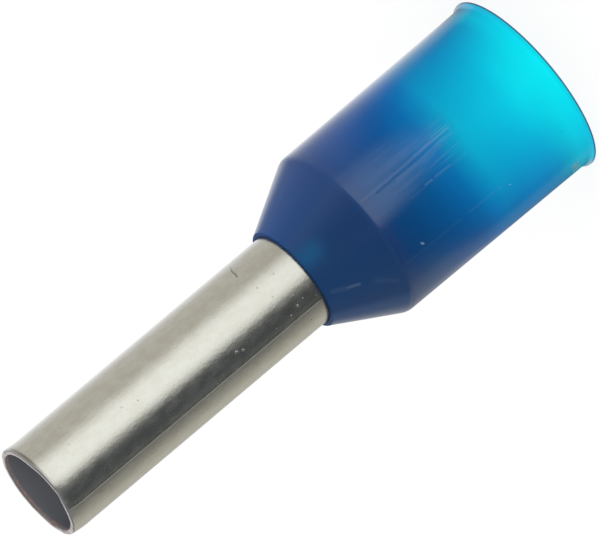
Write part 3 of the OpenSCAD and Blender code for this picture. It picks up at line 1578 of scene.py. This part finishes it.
@dataclass(frozen=True)
class SoftLamp:
    """A large soft lamp that looks at the object.

    Attributes:
        name: The lamp's name.
        azimuth: Degrees round the axis from the front towards the left.
        elevation: Degrees above the floor.
        distance: Distance from the object, in metres.
        size: Side of the lamp, in metres.
        level: Light that it gives a surface that faces it, where 1 shows white as white.
    """

    name: str
    azimuth: float
    elevation: float
    distance: float
    size: float
    level: float

    def build(self, target: Vector) -> Object:
        """Add the lamp and turn it to the target.

        Args:
            target: The point that the lamp looks at, in metres.

        Returns:
            The lamp.
        """
        rise = math.radians(self.elevation)
        turn = math.radians(self.azimuth)
        flat = math.cos(rise)
        away = Vector((-math.sin(turn) * flat, -math.cos(turn) * flat, math.sin(rise)))
        place = target + away * self.distance
        lamp = add_object(bpy.ops.object.light_add, self.name, type="AREA", location=place)
        lamp.rotation_euler = away.to_track_quat("Z", "Y").to_euler()
        lamp.data.shape = "SQUARE"
        lamp.data.size = self.size
        lamp.data.energy = self.level * (math.pi * self.distance) ** 2
        lamp.visible_glossy = False
        return lamp


@dataclass(frozen=True)
class Studio:
    """A plain pale floor, a white surround, a ring of cards and soft lamps.

    Attributes:
        floor_radius: Radius of the floor, in metres.
        floor_white: Colour of the floor.
        floor_glow: Share of the floor that is plain white to the camera, over its shadows.
        surround: Light that the surround gives.
        ceiling: What shiny surfaces that face up mirror.
        side_card: What they mirror at the +X side.
        back_card: What they mirror behind the object.
        fade: Width over which the shade near the object gives way to the cards, in millimetres.
        card_level: Brightness of the white cards.
        lamps: The soft lamps.
    """

    floor_radius: float = 0.6
    floor_white: float = 0.86
    floor_glow: float = 0.80
    surround: float = 0.90
    ceiling: Color = (0.18, 0.185, 0.20)
    side_card: Color = (0.36, 0.36, 0.38)
    back_card: Color = (0.67, 0.67, 0.67)
    fade: float = 7.0
    card_level: float = 1.2
    lamps: tuple[SoftLamp, ...] = (
        SoftLamp("key_lamp", azimuth=0, elevation=38, distance=0.30, size=0.22, level=0.45),
        SoftLamp("back_lamp", azimuth=165, elevation=45, distance=0.30, size=0.22, level=0.22),
    )

    def build(self) -> None:
        """Build the floor, the card ring, the surround and the lamps."""
        low, high = (Vector(corner) for corner in CAD_BOX)
        middle = (low + high) / 2
        self._surround()
        self._disc("floor", low.z, self._floor_material()).visible_glossy = False
        ring = self._disc("card_ring", low.z - 0.05 * MM, self._ring_material())
        ring.visible_camera = ring.visible_diffuse = ring.visible_shadow = False
        ring.visible_transmission = ring.visible_volume_scatter = False
        for lamp in self.lamps:
            lamp.build(middle)
        LOG.info("studio: floor, card ring and %d lamps", len(self.lamps))

    def _disc(self, name: str, height: float, material: Material) -> Object:
        """Add one large flat disc to the stage.

        Args:
            name: The disc's name.
            height: Its height, in metres.
            material: Its finish.

        Returns:
            The disc.
        """
        disc = add_object(
            bpy.ops.mesh.primitive_circle_add,
            name,
            vertices=96,
            radius=self.floor_radius,
            fill_type="NGON",
            location=(0, 0, height),
        )
        bpy.ops.object.transform_apply(location=True, rotation=True, scale=True)
        disc.data.materials.append(material)
        return disc

    def _floor_material(self) -> Material:
        """Make the floor: matt white, and to the camera mostly plain white with a shadow.

        Returns:
            The material.
        """
        material, output = new_material("white_floor")
        material.cycles.emission_sampling = "NONE"
        sheet = Sheet(material.node_tree)
        matt = sheet.node("BsdfDiffuse", {"Color": (self.floor_white,) * 3}).outputs[0]
        seen = ray_share(sheet, Ray.CAMERA, Ray.GLOSSY, Ray.TRANSMISSION)
        share = sheet.times(seen, self.floor_glow)
        sheet.feed(output, sheet.either(share, matt, sheet.light("Emission", WHITE, 1.0)))
        return material

    def _ring_material(self) -> Material:
        """Make the cards' light on the floor round the object.

        Returns:
            The material.
        """
        material, output = new_material("card_ring")
        skin = Skin(material.node_tree)
        cards = skin.group(CardRing(), direction=skin.point)
        end = skin.math("ADD", cards["Near edge"], self.fade)
        beyond = skin.step(skin.radius, cards["Near edge"], end)
        ray = skin.node("NewGeometry").outputs["Incoming"]
        fall = skin.math("ABSOLUTE", skin.node("SeparateXYZ", {0: ray}).outputs["Z"])
        above = skin.times(skin.step(fall, 0.5, 0.8), skin.out((2.8, 3.4)))
        color = skin.painted(
            cards["Near color"], (beyond, cards["Far color"]), (above, (self.floor_white,) * 3)
        )
        skin.feed(output, skin.light("Emission", color, self.card_level))
        return material

    def _surround(self) -> None:
        """Make the world white to the eye, soft light to matt surfaces and cards to shiny ones."""
        world = bpy.data.worlds.new("surround")
        world.use_nodes = True
        world.cycles.sampling_method = "NONE"
        world.node_tree.nodes.clear()
        bpy.context.scene.world = world
        sheet = Sheet(world.node_tree)
        direction = sheet.node("TexCoord").outputs["Generated"]
        axes = sheet.node("SeparateXYZ", {0: direction}).outputs
        cards = sheet.group(CardRing(), direction=direction)["Far color"]
        ceiling = sheet.painted(
            self.ceiling,
            (sheet.step(axes["X"], 0.2, 0.8), self.side_card),
            (sheet.step(axes["Y"], 0.87, 0.95), self.back_card),
        )
        mirrored = sheet.blend(sheet.step(axes["Z"], -0.12, 0.15), cards, ceiling)
        shiny = sheet.light("Background", mirrored, self.card_level)
        soft = sheet.light("Background", WHITE, self.surround)
        lit = sheet.either(ray_share(sheet, Ray.GLOSSY), soft, shiny)
        seen = ray_share(sheet, Ray.CAMERA, Ray.TRANSMISSION)
        both = sheet.either(seen, lit, sheet.light("Background", WHITE, 1.0))
        sheet.feed(sheet.node("OutputWorld").inputs["Surface"], both)


@dataclass(frozen=True)
class Viewpoint:
    """The camera: a long lens in front of the ferrule, rolled so that its tip points down left.

    Attributes:
        target: The point that it looks at, in millimetres.
        elevation: Degrees above the floor.
        roll: Degrees that it is turned about its own line of sight.
        distance: Distance from the target, in millimetres.
        width: Width of the view at the target, in millimetres.
    """

    target: tuple[float, float, float] = (0.061, 0.0, 7.112)
    elevation: float = 16.4
    roll: float = -130.11
    distance: float = 350.0
    width: float = 13.934

    def build(self) -> Object:
        """Add the camera and make it the scene's own.

        Returns:
            The camera.
        """
        rise = math.radians(self.elevation)
        back = Vector((0.0, -math.cos(rise), math.sin(rise))) * self.distance
        place = (Vector(self.target) + back) * MM
        camera = add_object(bpy.ops.object.camera_add, "camera", location=place)
        level = Euler((math.pi / 2 - rise, 0.0, 0.0)).to_matrix()
        turned = level @ Matrix.Rotation(math.radians(self.roll), 3, "Z")
        camera.rotation_euler = turned.to_euler()
        camera.data.lens = camera.data.sensor_width * self.distance / self.width
        camera.data.clip_start = 0.01
        camera.data.clip_end = 2.0
        bpy.context.scene.camera = camera
        return camera


def main() -> None:
    """Build the camera, the studio and the ferrule's two pieces."""
    logging.basicConfig(level=logging.INFO, format="%(name)s: %(message)s")
    scene = bpy.context.scene
    scene.view_settings.view_transform = "Standard"
    Viewpoint().build()
    Studio().build()
    sizes = FerruleSizes.from_frame()
    CrimpTube("tinned_tube", "crimp_tube", "tinned_copper", sizes=sizes).build(
        TinFinish(sizes).material()
    )
    InsulatingCollar("plastic_collar", "insulating_collar", "blue_plastic", sizes=sizes).build(
        BluePlasticFinish(sizes).material()
    )


if __name__ == "__main__":
    main()
